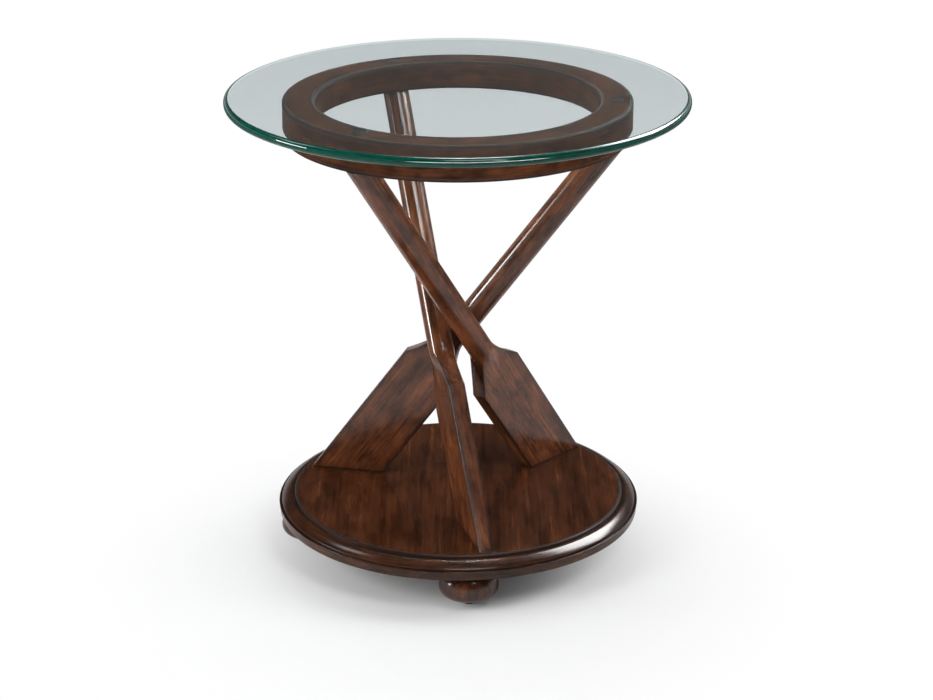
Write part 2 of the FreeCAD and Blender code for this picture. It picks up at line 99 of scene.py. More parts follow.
# Dark glaze and painted shade on an oar, from none at 0 to full at 1: by the distance from an
# eased edge, by the height above its foot on the panel, and by the depth below its head under the
# ring.
EDGE_GLAZE_AND_SHADE = ((0.0, 0.90), (2.0 * MM, 0.55), (6.5 * MM, 0.12))
FOOT_GLAZE_AND_SHADE = ((0.0, 1.0), (2.5 * MM, 0.95), (5.0 * MM, 0.35), (14.0 * MM, 0.0))
HEAD_GLAZE_AND_SHADE = ((10.0 * MM, 0.0), (3.0 * MM, 0.4), (0.0, 0.9))

# Darkening on the rim: glaze and painted shade in its grooves, glaze on its bevel, edges and face,
# and darker on its underside; and how far from its edges the face turns plain.
GROOVE_GLAZE_AND_SHADE = 1.0
BEVEL_GLAZE = 0.5
FACE_FOOT_GLAZE = 0.6
FACE_GLAZE = 0.05
UNDERSIDE_DARKENING = 0.3
FACE_FADE = 2.5 * MM

# Where the darkening on the imported solids starts and where it is full: glaze short of the ring's
# edges, glaze and painted shade short of the panel's edge and of the foot's top, and above the floor.
RING_FADE = (6 * MM, 2 * MM)
PANEL_FADE = (7 * MM, 0.5 * MM)
FOOT_TOP_FADE = (9 * MM, 1 * MM)
FOOT_FLOOR_FADE = (12 * MM, 5 * MM)

# On the glass edge: where it starts and ends to get duller, short of its top, and the heights above
# its foot where a paler green, a painted line of light, starts and is full.
GLASS_TOP_FADE = (3.0 * MM, 1.0 * MM)
GLASS_LIGHT_LINE_TOP = 2.4 * MM
GLASS_LIGHT_LINE_FULL = 0.8 * MM

# Steps of the meshes, and the angle from which two faces meet in a sharp edge.
TURN_STEPS = 256
EASE_STEPS = 4
SIDE_STEPS = 5
SHOULDER_STEPS = 18
SHAFT_STEPS = 6
BEVEL_STEPS = 12
GLASS_EDGE_STEPS = 12
BLADE_STATIONS = (60 * MM, 105 * MM, 150 * MM)
HEAD_CUT_ROOM = 40 * MM
SHARP_ANGLE = math.radians(40)


# Outlines


def bulged(start, end, sagitta, share):
    """A point on the arc that leaves its chord by the sagitta, to the right of its travel."""
    chord = end - start
    half_angle = 2 * math.atan2(2 * sagitta, chord.length)
    radius = chord.length / (2 * math.sin(half_angle))
    angle = half_angle * (2 * share - 1)
    along = 0.5 + radius * math.sin(angle) / chord.length
    out = radius * (math.cos(angle) - math.cos(half_angle))
    right = Vector((chord.y, -chord.x)).normalized()
    return start + chord * along + right * out


def bent(first, corner, last, share):
    """A point on the curve that rounds off a corner."""
    return first * (1 - share) ** 2 + corner * 2 * share * (1 - share) + last * share ** 2


def eased(corners):
    """A closed outline with rounded corners. Each corner is x, y, how far it is rounded off and
    how much dark glaze and painted shade it holds."""
    outline = []
    count = len(corners)
    for index, (x, y, ease, glaze_and_shade) in enumerate(corners):
        corner = Vector((x, y))
        if ease == 0:
            outline.append((corner, glaze_and_shade))
            continue
        before = Vector(corners[index - 1][:2])
        after = Vector(corners[(index + 1) % count][:2])
        first = corner + (before - corner).normalized() * ease
        last = corner + (after - corner).normalized() * ease
        for step in range(EASE_STEPS + 1):
            outline.append((bent(first, corner, last, step / EASE_STEPS), glaze_and_shade))
    return outline


# Meshes


def finished_mesh(name, vertices, faces, glaze_and_shade):
    """A smooth mesh with a value of glaze and painted shade at each vertex, sharp where its faces
    meet steeply.
    """
    mesh = bpy.data.meshes.new(name)
    mesh.from_pydata(vertices, [], faces)
    mesh.validate()
    mesh.shade_smooth()
    mesh.set_sharp_from_angle(angle=SHARP_ANGLE)
    values = mesh.attributes.new("glaze_and_shade", "FLOAT", "POINT")
    values.data.foreach_set("value", glaze_and_shade)
    piece = bpy.data.objects.new(name, mesh)
    bpy.context.scene.collection.objects.link(piece)
    weighted = piece.modifiers.new("even normals", "WEIGHTED_NORMAL")
    weighted.keep_sharp = True
    return piece


def turned(name, outline, closed):
    """A piece turned about the upright axis from its half section of (point, glaze and painted
    shade).
    """
    vertices, glaze_and_shade, rings = [], [], []
    for point, shade in outline:
        steps = TURN_STEPS if point.x > 0 else 1
        rings.append(range(len(vertices), len(vertices) + steps))
        for step in range(steps):
            angle = 2 * math.pi * step / TURN_STEPS
            vertices.append((point.x * math.cos(angle), point.x * math.sin(angle), point.y))
            glaze_and_shade.append(shade)
    faces = []
    pairs = zip(rings, rings[1:] + rings[:1]) if closed else zip(rings, rings[1:])
    for low, high in pairs:
        for step in range(TURN_STEPS):
            after = (step + 1) % TURN_STEPS
            face = [low[step % len(low)], low[after % len(low)],
                    high[after % len(high)], high[step % len(high)]]
            faces.append(list(dict.fromkeys(face)))
    return finished_mesh(name, vertices, faces, glaze_and_shade)


def lofted(name, rings):
    """A piece skinned over closed rings of (place, glaze and painted shade) with equal counts, capped
    at both ends.
    """
    count = len(rings[0])
    vertices = [place for ring in rings for place, _ in ring]
    glaze_and_shade = [shade for ring in rings for _, shade in ring]
    faces = [list(range(count))[::-1], list(range(len(vertices) - count, len(vertices)))]
    for row in range(len(rings) - 1):
        for step in range(count):
            after = (step + 1) % count
            faces.append([row * count + step, row * count + after,
                          (row + 1) * count + after, (row + 1) * count + step])
    return finished_mesh(name, vertices, faces, glaze_and_shade)


# Oars, each meshed in a frame of its own: X across the blade, Y through it, Z along the shaft

foot_run = math.sqrt(OAR_FOOT_RADIUS ** 2 - OAR_AXIS_OFFSET ** 2)
head_run = math.sqrt((ring_outer - RING_WIDTH / 2) ** 2 - OAR_AXIS_OFFSET ** 2)
oar_rise = ring_low.z - panel_top
oar_length = math.hypot(foot_run + head_run, oar_rise)
oar_lean = math.atan2(foot_run + head_run, oar_rise)


def section_side(start, end, sagitta):
    """Points along one side of an oar's section, short of its eased corners, with their glaze and
    painted shade.
    """
    length = (end - start).length
    insets = [(EDGE_EASE + inset, shade) for inset, shade in EDGE_GLAZE_AND_SHADE]
    inner = insets[-1][0]
    stops = list(insets)
    for step in range(1, SIDE_STEPS + 1):
        stops.append((inner + (length - 2 * inner) * step / (SIDE_STEPS + 1), 0.0))
    stops += [(length - inset, shade) for inset, shade in reversed(insets)]
    return [(bulged(start, end, sagitta, stop / length), shade) for stop, shade in stops]


def oar_section(half_width, half_thickness, edge_crown, face_crown):
    """An oar's section: four arcs with eased corners, a circle in the shaft."""
    wide = half_width - edge_crown
    thick = half_thickness - face_crown
    corners = [Vector(place) for place in
               ((-wide, -thick), (wide, -thick), (wide, thick), (-wide, thick))]
    crowns = (face_crown, edge_crown, face_crown, edge_crown)
    sides = [section_side(corners[side], corners[(side + 1) % 4], crowns[side])
             for side in range(4)]
    outline = []
    for side in range(4):
        outline += sides[side]
        corner = corners[(side + 1) % 4]
        first, last = sides[side][-1][0], sides[(side + 1) % 4][0][0]
        for step in range(1, EASE_STEPS):
            outline.append((bent(first, corner, last, step / EASE_STEPS), 1.0))
    return outline


def shoulder_half_width(station):
    """Half the shoulder's width at a station, which goes from 0 at the blade to 1 at the shaft."""
    flare = BLADE_HALF_WIDTH - SHAFT_RADIUS
    return SHAFT_RADIUS + flare * (1 - station) ** FLARE_POWER


def oar_stations():
    """Places along an oar's axis with the half width there, from the blade to the shaft."""
    stations = []
    corner = Vector((BLADE_LENGTH, BLADE_HALF_WIDTH))
    first = corner - Vector((CORNER_EASE, 0))
    start = CORNER_EASE / SHOULDER_LENGTH
    last = Vector((BLADE_LENGTH + CORNER_EASE, shoulder_half_width(start)))
    for step in range(EASE_STEPS + 1):
        stations.append(bent(first, corner, last, step / EASE_STEPS))
    for step in range(1, SHOULDER_STEPS + 1):
        share = start + (1 - start) * step / SHOULDER_STEPS
        stations.append(Vector((BLADE_LENGTH + SHOULDER_LENGTH * share, shoulder_half_width(share))))
    return stations


def shoulder_ease(along):
    """How far the blade has turned into the shaft, from 0 to 1, slowly at first."""
    station = min(max((along - BLADE_LENGTH) / SHOULDER_LENGTH, 0), 1)
    late = station * station
    return late * late * (3 - 2 * late)


def half_thickness_at(along):
    """The blade is planed thinner from its shoulder to its foot; the shoulder swells to the shaft."""
    if along < BLADE_LENGTH:
        thinning = (SHOULDER_HALF_THICKNESS - FOOT_HALF_THICKNESS) / BLADE_LENGTH
        return FOOT_HALF_THICKNESS + thinning * along
    ease = shoulder_ease(along)
    return SHOULDER_HALF_THICKNESS * (1 - ease) + SHAFT_RADIUS * ease


def section_at(along, half_width):
    """The section at a place along the axis, which eases from the blade into the shaft."""
    ease = shoulder_ease(along)
    round_crown = SHAFT_RADIUS * QUARTER_CROWN
    outline = oar_section(
        half_width,
        half_thickness_at(along),
        BLADE_EDGE_CROWN * (1 - ease) + round_crown * ease,
        BLADE_FACE_CROWN * (1 - ease) + round_crown * ease,
    )
    shift = Vector((BLADE_SHIFT, -BLADE_SETBACK)) * (1 - ease)
    return [(point + shift, shade * (1 - ease)) for point, shade in outline]


def level_ring(half_width, along, shade):
    """A ring cut level, parallel to the floor, round a place on the leaning axis."""
    slope = math.tan(oar_lean)
    ring = []
    for point, glaze_and_shade in section_at(along, half_width):
        place = along + point.x * slope
        thin = half_thickness_at(place) / half_thickness_at(along)
        back = 0 if along > BLADE_LENGTH else BLADE_SETBACK
        ring.append(((point.x, (point.y + back) * thin - back, place), max(glaze_and_shade, shade)))
    return ring


def square_ring(along, half_width):
    """A ring cut square to the axis."""
    return [((p.x, p.y, along), glaze_and_shade) for p, glaze_and_shade in section_at(along, half_width)]


def make_oar(index):
    stations = oar_stations()
    upright = 1 / math.cos(oar_lean)
    rings = [level_ring(BLADE_HALF_WIDTH, height * upright, shade) for height, shade in FOOT_GLAZE_AND_SHADE]
    rings += [square_ring(along, BLADE_HALF_WIDTH) for along in BLADE_STATIONS]
    rings += [square_ring(*station) for station in stations]
    shaft_start = stations[-1][0]
    shaft_run = oar_length - HEAD_CUT_ROOM - shaft_start
    for step in range(1, SHAFT_STEPS + 1):
        rings.append(square_ring(shaft_start + shaft_run * step / SHAFT_STEPS, SHAFT_RADIUS))
    for depth, shade in HEAD_GLAZE_AND_SHADE:
        rings.append(level_ring(SHAFT_RADIUS, oar_length - depth * upright, shade))
    oar = lofted(f"oar_{index + 1}_carved", rings)
    heading = OAR_HEADING + index * 2 * math.pi / OAR_COUNT
    turn = Matrix.Rotation(heading, 4, "Z")
    foot = turn @ Vector((-foot_run, OAR_AXIS_OFFSET, panel_top))
    oar.matrix_world = Matrix.Translation(foot) @ turn @ Matrix.Rotation(oar_lean, 4, "Y")
    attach(oar, "frame")
    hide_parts(f"oar_{index + 1}")
    return oar


# Rim of the base


def make_rim():
    low = rim_low.z
    face_foot = base_radius - FACE_UNDERCUT
    face_top = low + FACE_HEIGHT
    ledge = base_radius - LEDGE_WIDTH
    inner = base_radius - RIM_WIDTH
    rebate = inner + TONGUE_WIDTH
    bevel_foot = Vector((ledge, face_top + BEVEL_STEP))
    bevel_top = Vector((ledge - BEVEL_WIDTH, panel_top - QUIRK_DEPTH))
    bevel = [bulged(bevel_foot, bevel_top, BEVEL_CROWN, step / BEVEL_STEPS)
             for step in range(1, BEVEL_STEPS)]
    lean = FACE_UNDERCUT / FACE_HEIGHT
    outline = eased([
        (rebate, low, 0, UNDERSIDE_DARKENING),
        (face_foot, low, FACE_FOOT_EASE, FACE_FOOT_GLAZE),
        (face_foot + FACE_FADE * lean, low + FACE_FADE, 0, FACE_GLAZE),
        (base_radius - FACE_FADE * lean, face_top - FACE_FADE, 0, FACE_GLAZE),
        (base_radius, face_top, FACE_TOP_EASE, BEVEL_GLAZE),
        (ledge, face_top, 0, GROOVE_GLAZE_AND_SHADE),
        (bevel_foot.x, bevel_foot.y, BEVEL_FOOT_EASE, BEVEL_GLAZE),
        *[(point.x, point.y, 0, BEVEL_GLAZE) for point in bevel],
        (bevel_top.x, bevel_top.y, BEVEL_TOP_EASE, BEVEL_GLAZE),
        (inner, bevel_top.y, 0, GROOVE_GLAZE_AND_SHADE),
        (inner, low + TONGUE_HEIGHT, 0, GROOVE_GLAZE_AND_SHADE),
        (rebate, low + TONGUE_HEIGHT, 0, GROOVE_GLAZE_AND_SHADE),
    ])
    rim = turned("base_rim_moulded", outline, True)
    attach(rim, "frame")
    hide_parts("base_rim")
    return rim


# Glass disc


def make_glass():
    """The disc with its rounded edge; the edge has a material of its own."""
    low, high = glass_low.z, glass_high.z
    flat = glass_radius - GLASS_EDGE_RADIUS
    outline = [(Vector((0, low)), 0.0), (Vector((flat / 2, low)), 0.0)]
    for centre, start in ((low + GLASS_EDGE_RADIUS, -math.pi / 2), (high - GLASS_EDGE_RADIUS, 0)):
        for step in range(GLASS_EDGE_STEPS + 1):
            angle = start + math.pi / 2 * step / GLASS_EDGE_STEPS
            reach = Vector((math.cos(angle), math.sin(angle))) * GLASS_EDGE_RADIUS
            outline.append((Vector((flat, centre)) + reach, 0.0))
    outline += [(Vector((flat / 2, high)), 0.0), (Vector((0, high)), 0.0)]
    glass = turned("glass_disc", outline, False)
    for material in (glass_material(), glass_edge_material()):
        glass.data.materials.append(material)
    for face in glass.data.polygons:
        face.material_index = 1 if Vector(face.center[:2]).length > flat else 0
    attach(glass, "glass")
    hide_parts("glass_top")
    return glass


# Materials


class Tree:
    """The nodes of a new material or of the world, with short calls to add to them."""

    def __init__(self, owner):
        owner.use_nodes = True
        self.owner = owner
        self.nodes = owner.node_tree.nodes
        self.links = owner.node_tree.links

    def feed(self, socket, value):
        if isinstance(value, bpy.types.NodeSocket):
            self.links.new(value, socket)
        else:
            socket.default_value = value

    def add(self, kind, inputs, **settings):
        node = self.nodes.new("ShaderNode" + kind)
        for key, value in settings.items():
            setattr(node, key, value)
        for key, value in inputs.items():
            self.feed(node.inputs[key], value)
        return node

    def shade(self, **inputs):
        """Sets the surface shader's inputs, where an underscore stands for a space, and returns
        what the shader gives."""
        shader = self.nodes["Principled BSDF"]
        for key, value in inputs.items():
            self.feed(shader.inputs[key.replace("_", " ")], value)
        return shader.outputs[0]

    def surface(self, factor, first, second):
        """Makes the surface a mix of two shaders."""
        both = self.add("MixShader", {0: factor, 1: first, 2: second})
        self.feed(self.nodes["Material Output"].inputs["Surface"], both.outputs[0])

    def math(self, operation, *values, **settings):
        return self.add("Math", dict(enumerate(values)), operation=operation, **settings).outputs[0]

    def position(self):
        return self.add("TexCoord", {}).outputs["Object"]

    def split(self, vector):
        return self.add("SeparateXYZ", {0: vector}).outputs

    def join(self, x, y, z):
        return self.add("CombineXYZ", {0: x, 1: y, 2: z}).outputs[0]

    def vector(self, operation, first, second):
        return self.add("VectorMath", {0: first, 1: second}, operation=operation).outputs[0]

    def reach(self, place):
        """The distance from the table's upright axis."""
        flat = self.join(place[0], place[1], 0.0)
        return self.add("VectorMath", {0: flat}, operation="LENGTH").outputs["Value"]

    def noise(self, vector, detail=2.0, roughness=0.5, distortion=0.0):
        inputs = {"Vector": vector, "Scale": 1.0, "Detail": detail, "Roughness": roughness,
                  "Distortion": distortion}
        return self.add("TexNoise", inputs).outputs[0]

    def scaled_noise(self, vector, scale, detail=2.0):
        return self.noise(self.vector("MULTIPLY", vector, scale), detail)

    def bump(self, height, strength, distance):
        inputs = {"Height": height, "Strength": strength, "Distance": distance}
        return self.add("Bump", inputs).outputs[0]

    def between(self, value, low, high, out_low=0.0, out_high=1.0):
        """A smooth step from out_low to out_high as the value goes from low to high."""
        inputs = {0: value, 1: low, 2: high, 3: out_low, 4: out_high}
        return self.add("MapRange", inputs, interpolation_type="SMOOTHSTEP").outputs[0]

    def up_to(self, value, edge, fade, *outputs):
        """A smooth step that starts and ends at two distances short of an edge."""
        start, end = fade
        return self.between(value, edge - start, edge - end, *outputs)

    def blend(self, factor, first, second):
        """A number between two numbers."""
        return self.add("Mix", {0: factor, 2: first, 3: second}).outputs[0]

    def mix(self, factor, first, second, blend="MIX"):
        """A colour mixed from two colours."""
        node = self.add("Mix", {}, data_type="RGBA", blend_type=blend)
        for index, value in ((0, factor), (6, first), (7, second)):
            self.feed(node.inputs[index], value)
        return node.outputs[2]

    def ramp(self, factor, stops):
        node = self.add("ValToRGB", {0: factor})
        elements = node.color_ramp.elements
        while len(elements) < len(stops):
            elements.new(1.0)
        for element, (place, colour) in zip(elements, stops):
            element.position = place
            element.color = rgb(colour)
        return node.outputs[0]


def rgb(colour):
    return (*colour, 1.0)


def new_material(name):
    return Tree(bpy.data.materials.new(name))


# Browns of the stained wood, from its dark streaks to its light ones, and of what darkens it.
WOOD_TONES = (
    (0.32, (0.0170, 0.0050, 0.0020)),
    (0.44, (0.0380, 0.0118, 0.0046)),
    (0.55, (0.0640, 0.0200, 0.0078)),
    (0.68, (0.1080, 0.0345, 0.0135)),
)
# One dark colour for pores, glaze and painted shade alike.
DARK_GLAZE_AND_SHADE = rgb((0.0060, 0.0030, 0.0022))
SPECK = rgb((0.0045, 0.0026, 0.0020))

# Shares of the broad streaks, the bands and the fine lines in the tone.
BROAD_SHARE = 0.22
BAND_SHARE = 0.30
LINE_SHARE = 0.48

# How light or dark the stain gets in its small blotches and its wide clouds.
BLOTCH_RANGE = (0.48, 1.36)
CLOUD_RANGE = (0.80, 1.20)

# How much of the colour pores, specks, and full glaze with painted shade hide.
PORE_COVER = 0.45
SPECK_COVER = 0.7
GLAZE_AND_SHADE_COVER = 0.9

# Specks: cells per metre, the share of cells without one, and where a speck starts and is full.
SPECK_CELLS = 42.0
PLAIN_CELL_SHARE = 0.84
SPECK_OUTLINE = (0.075, 0.025)

# The lacquer's roughness, and the height of its grain in metres.
LACQUER_ROUGHNESS = (0.15, 0.21)
GRAIN_HEIGHT = 0.0002
GRAIN_STRENGTH = 0.05

# How much the panel's figure is drawn out along its grain.
PANEL_FIGURE = 0.5


def along_oar(tree):
    """Grain along the Z axis, which in an oar's own frame is its shaft."""
    return tree.position()


def along_depth(tree):
    """Grain that runs from front to back, in a long figure."""
    place = tree.split(tree.position())
    return tree.join(place[0], place[2], tree.math("MULTIPLY", place[1], PANEL_FIGURE))


def around(radius):
    """Grain that runs round the table at a radius, with the joint at the back."""

    def coordinates(tree):
        place = tree.split(tree.position())
        forward = tree.math("MULTIPLY", place[1], -1.0)
        angle = tree.math("ARCTAN2", place[0], forward)
        return tree.join(tree.reach(place), place[2], tree.math("MULTIPLY", angle, radius))

    return coordinates


def vertex_glaze_and_shade(tree):
    """The glaze and painted shade that the oars and the rim hold at their vertices."""
    return tree.add("Attribute", {}, attribute_name="glaze_and_shade").outputs["Fac"]


def wood(name, coordinates, offset, lightness, glaze_and_shade, darkening_roughness=0.06, specular=0.5):
    """Stained and lacquered wood with its grain along the third coordinate."""
    tree = new_material(name)
    grain = tree.vector("ADD", coordinates(tree), offset)

    def streaks(across, along, detail=2.0, roughness=0.5, distortion=0.0):
        """Noise with so many waves per metre across the grain and along it."""
        scaled = tree.vector("MULTIPLY", grain, (across, across, along))
        return tree.noise(scaled, detail, roughness, distortion)

    broad = streaks(30.0, 3.0)
    bands = streaks(110.0, 6.0, 3.0, 0.6, 0.3)
    lines = streaks(420.0, 16.0, 3.0, 0.65)
    fibre = streaks(850.0, 22.0)
    cloud = streaks(17.0, 9.0)
    blotch = streaks(58.0, 27.0, 4.0, 0.62)
    pores = tree.between(streaks(1500.0, 55.0, 1.0), 0.62, 0.72)

    tone = tree.math("MULTIPLY_ADD", bands, BAND_SHARE, tree.math("MULTIPLY", broad, BROAD_SHARE))
    tone = tree.math("MULTIPLY_ADD", lines, LINE_SHARE, tone)
    colour = tree.ramp(tone, WOOD_TONES)
    cloud_low, cloud_high = (limit * lightness for limit in CLOUD_RANGE)
    stain = tree.math("MULTIPLY", tree.between(blotch, 0.30, 0.68, *BLOTCH_RANGE),
                      tree.between(cloud, 0.30, 0.70, cloud_low, cloud_high))
    colour = tree.mix(1.0, colour, tree.join(stain, stain, stain), "MULTIPLY")
    colour = tree.mix(tree.math("MULTIPLY", pores, PORE_COVER), colour, DARK_GLAZE_AND_SHADE)

    cells = tree.add("TexVoronoi", {"Vector": grain, "Scale": SPECK_CELLS})
    chosen = tree.math("GREATER_THAN", tree.split(cells.outputs["Color"])[0], PLAIN_CELL_SHARE)
    speck = tree.math("MULTIPLY", tree.between(cells.outputs["Distance"], *SPECK_OUTLINE), chosen)
    colour = tree.mix(tree.math("MULTIPLY", speck, SPECK_COVER), colour, SPECK)

    # Where the mask asks for it, glaze and painted shade darken the wood, a little unevenly.
    uneven = tree.between(streaks(60.0, 40.0), 0.3, 0.7, 0.80, 1.0)
    darkening = tree.math("MULTIPLY", glaze_and_shade(tree), uneven)
    colour = tree.mix(tree.math("MULTIPLY", darkening, GLAZE_AND_SHADE_COVER), colour, DARK_GLAZE_AND_SHADE)

    rough = tree.between(fibre, 0.3, 0.7, *LACQUER_ROUGHNESS)
    relief = tree.math("MULTIPLY_ADD", pores, -1.0, tree.math("MULTIPLY", fibre, 0.5))
    tree.shade(
        Base_Color=colour,
        Roughness=tree.math("MULTIPLY_ADD", darkening, darkening_roughness, rough),
        Normal=tree.bump(relief, GRAIN_STRENGTH, GRAIN_HEIGHT),
        Specular_IOR_Level=specular,
    )
    return tree.owner


def ring_glaze(tree):
    """Dark glaze along the ring's four eased edges."""
    place = tree.split(tree.position())
    half_width = RING_WIDTH / 2
    across = tree.math("ABSOLUTE", tree.math("SUBTRACT", tree.reach(place), ring_outer - half_width))
    level = (ring_low.z + ring_high.z) / 2
    half_height = (ring_high.z - ring_low.z) / 2
    up = tree.math("ABSOLUTE", tree.math("SUBTRACT", place[2], level))
    near_side = tree.up_to(across, half_width, RING_FADE)
    near_end = tree.up_to(up, half_height, RING_FADE)
    return tree.math("MULTIPLY", near_side, near_end)


def panel_glaze_and_shade(tree):
    """Dark glaze and painted shade in the groove round the panel."""
    reach = tree.reach(tree.split(tree.position()))
    return tree.up_to(reach, base_radius - RIM_WIDTH, PANEL_FADE)


def feet_glaze_and_shade(tree):
    """Dark glaze and painted contact shade where the feet meet the base and the floor."""
    height = tree.split(tree.position())[2]
    above = tree.up_to(height, rim_low.z, FOOT_TOP_FADE)
    below = tree.between(height, *FOOT_FLOOR_FADE)
    return tree.math("MAXIMUM", above, below)


def glass_material():
    """Clear glass, faintly smeared, that lets lamps through."""
    tree = new_material("clear_glass")
    cloud = tree.scaled_noise(tree.position(), (9, 9, 9))
    glass = tree.shade(
        Base_Color=rgb((0.90, 0.985, 1.0)),
        Roughness=tree.between(cloud, 0.4, 0.8, 0.0, 0.02),
        IOR=1.5,
        Transmission_Weight=1.0,
    )
    clear = tree.add("BsdfTransparent", {"Color": rgb((0.80, 0.88, 0.87))}).outputs[0]
    tree.surface(tree.add("LightPath", {}).outputs["Is Shadow Ray"], glass, clear)
    return tree.owner


def glass_edge_material():
    """The polished edge of the glass, where its green gathers, clear when seen through the glass."""
    tree = new_material("green_glass_edge")
    place = tree.position()
    height = tree.split(place)[2]
    cloud = tree.between(tree.scaled_noise(place, (60, 60, 900)), 0.35, 0.65)
    green = tree.mix(cloud, rgb((0.0004, 0.024, 0.016)), rgb((0.0010, 0.048, 0.034)))
    low = glass_low.z
    # The paler green along the foot of the edge is a painted line of light.
    painted_light_line = tree.between(height, low + GLASS_LIGHT_LINE_TOP, low + GLASS_LIGHT_LINE_FULL)
    edge = tree.shade(
        Base_Color=tree.mix(painted_light_line, green, rgb((0.012, 0.150, 0.112))),
        Roughness=tree.up_to(height, glass_high.z, GLASS_TOP_FADE, 0.05, 0.22),
        IOR=1.5,
    )
    clear = tree.add("BsdfTransparent", {"Color": rgb((0.85, 0.93, 0.91))}).outputs[0]
    tree.surface(tree.add("NewGeometry", {}).outputs["Backfacing"], edge, clear)
    return tree.owner


def moulded(name, colour, roughness):
    """Dark rubber or plastic with a faint moulded grain."""
    tree = new_material(name)
    place = tree.position()
    cloud = tree.scaled_noise(place, (120, 120, 120), 3.0)
    grain = tree.scaled_noise(place, (2600, 2600, 2600), 1.0)
    pale = rgb([1.6 * part for part in colour])
    tree.shade(
        Base_Color=tree.mix(tree.between(cloud, 0.3, 0.7), rgb(colour), pale),
        Roughness=tree.between(cloud, 0.3, 0.7, roughness - 0.06, roughness + 0.06),
        Normal=tree.bump(grain, 0.15, 0.1 * MM),
    )
    return tree.owner


def metal(name, colour, dull, roughness):
    """Plated or turned metal with fine machining lines and a little tarnish."""
    tree = new_material(name)
    place = tree.position()
    lines = tree.scaled_noise(place, (300, 300, 4200))
    cloud = tree.scaled_noise(place, (220, 220, 220), 3.0)
    tree.shade(
        Base_Color=tree.mix(tree.between(cloud, 0.4, 0.75), rgb(colour), rgb(dull)),
        Metallic=1.0,
        Roughness=tree.between(lines, 0.3, 0.7, roughness - 0.07, roughness + 0.1),
        Normal=tree.bump(lines, 0.1, 0.1 * MM),
    )
    return tree.owner


def dress(piece, material):
    piece.data.materials.clear()
    piece.data.materials.append(material)


def dress_nodes(names, material):
    """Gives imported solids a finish; the mesh stays as it is."""
    for name in names:
        for material_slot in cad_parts[name].material_slots:
            material_slot.material = material


def numbered(stem, count):
    return [f"{stem}_{index}" for index in range(1, count + 1)]


# Stage

# The middle of the table's shadow, a little to the left and towards the viewer, the distances
# from it over which the floor runs out to white, and those over which its paint gets darker.
SHADOW_CENTRE = (-0.02, -0.12, 0.0)
SHADOW_FADE = (0.04, 0.50)
PAINT_FADE = (0.90, 1.60)
NEAR_PAINT = 0.53
FAR_PAINT = 0.16
FLOOR_HALF_SIZE = 30.0


def make_floor():
    """A white floor that keeps the table's shadow near it and runs out to plain white. What is
    lit or mirrored by it sees its grey paint alone."""
    half = FLOOR_HALF_SIZE
    mesh = bpy.data.meshes.new("floor")
    corners = [(-half, -half, 0), (half, -half, 0), (half, half, 0), (-half, half, 0)]
    mesh.from_pydata(corners, [], [(0, 1, 2, 3)])
    floor = bpy.data.objects.new("floor", mesh)
    bpy.context.scene.collection.objects.link(floor)

    tree = new_material("white_floor")
    tree.nodes.remove(tree.nodes["Principled BSDF"])
    path = tree.add("LightPath", {}).outputs
    bounces = tree.math("ADD", path["Diffuse Depth"], path["Glossy Depth"])
    shown = tree.math("LESS_THAN", bounces, 0.5)
    gap = {0: tree.position(), 1: SHADOW_CENTRE}
    reach = tree.add("VectorMath", gap, operation="DISTANCE").outputs["Value"]
    far = tree.math("MULTIPLY", tree.between(reach, *SHADOW_FADE), shown)
    grey = tree.between(reach, *PAINT_FADE, NEAR_PAINT, FAR_PAINT)
    paint = tree.add("BsdfDiffuse", {"Color": tree.join(grey, grey, grey)})
    white = tree.add("Emission", {"Color": rgb((1, 1, 1)), "Strength": 1.0})
    tree.surface(far, paint.outputs[0], white.outputs[0])
    dress(floor, tree.owner)


BACKDROP_LIGHT = 1.0
AMBIENT_LIGHT = 0.46
# Light of the wall and ceiling in reflections, by how steeply the ray rises.
MIRRORED_WALL = ((0.03, 1.0), (0.12, 0.45), (0.20, 0.10), (0.30, 0.055), (0.37, 0.012), (1.0, 0.02))


def make_world():
    """A white backdrop to look at, even light all round, and a dim ceiling in reflections."""
    world = bpy.data.worlds.new("studio")
    bpy.context.scene.world = world
    tree = Tree(world)
    path = tree.add("LightPath", {}).outputs
    rise = tree.split(tree.add("TexCoord", {}).outputs["Generated"])[2]
    mirrored = tree.ramp(rise, [(place, (light, light, light)) for place, light in MIRRORED_WALL])
    lit = tree.blend(path["Diffuse Depth"], mirrored, AMBIENT_LIGHT)
    bounced = tree.math("ADD", path["Diffuse Depth"], path["Glossy Depth"], use_clamp=True)
    background = tree.nodes["Background"]
    tree.feed(background.inputs["Color"], rgb((1.0, 1.0, 1.0)))
    tree.feed(background.inputs["Strength"], tree.blend(bounced, BACKDROP_LIGHT, lit))


# Watts for each square metre of a lamp and unit of its radiance.
LAMP_WATTS = 4.0

# Places that lamps aim at.
TABLE_MIDDLE = (0, 0, 0.35)
BASE_MIDDLE = (0, 0, 0.2)
PANEL_MIDDLE = (0, 0, 0.1)
RIM_FRONT = (0.0, -0.20, 0.06)
RIM_RIGHT = (0.15, -0.15, 0.06)
GLASS_FRONT = (0, -0.30, 0.615)

FILL_SIZE = (1.4, 1.4)

# An arc of narrow-beamed lamps in front of the table, for the light line along the glass edge,
# with the first lamp's turn and the step to the next one in degrees.
STRIP_COUNT = 8
STRIP_FIRST = -18
STRIP_STEP = 8
STRIP_DISTANCE = 3.0
STRIP_LEVEL = 0.77
STRIP_SIZE = (0.8, 0.3)
STRIP_RADIANCE = 0.22
STRIP_SPREAD = math.radians(14)


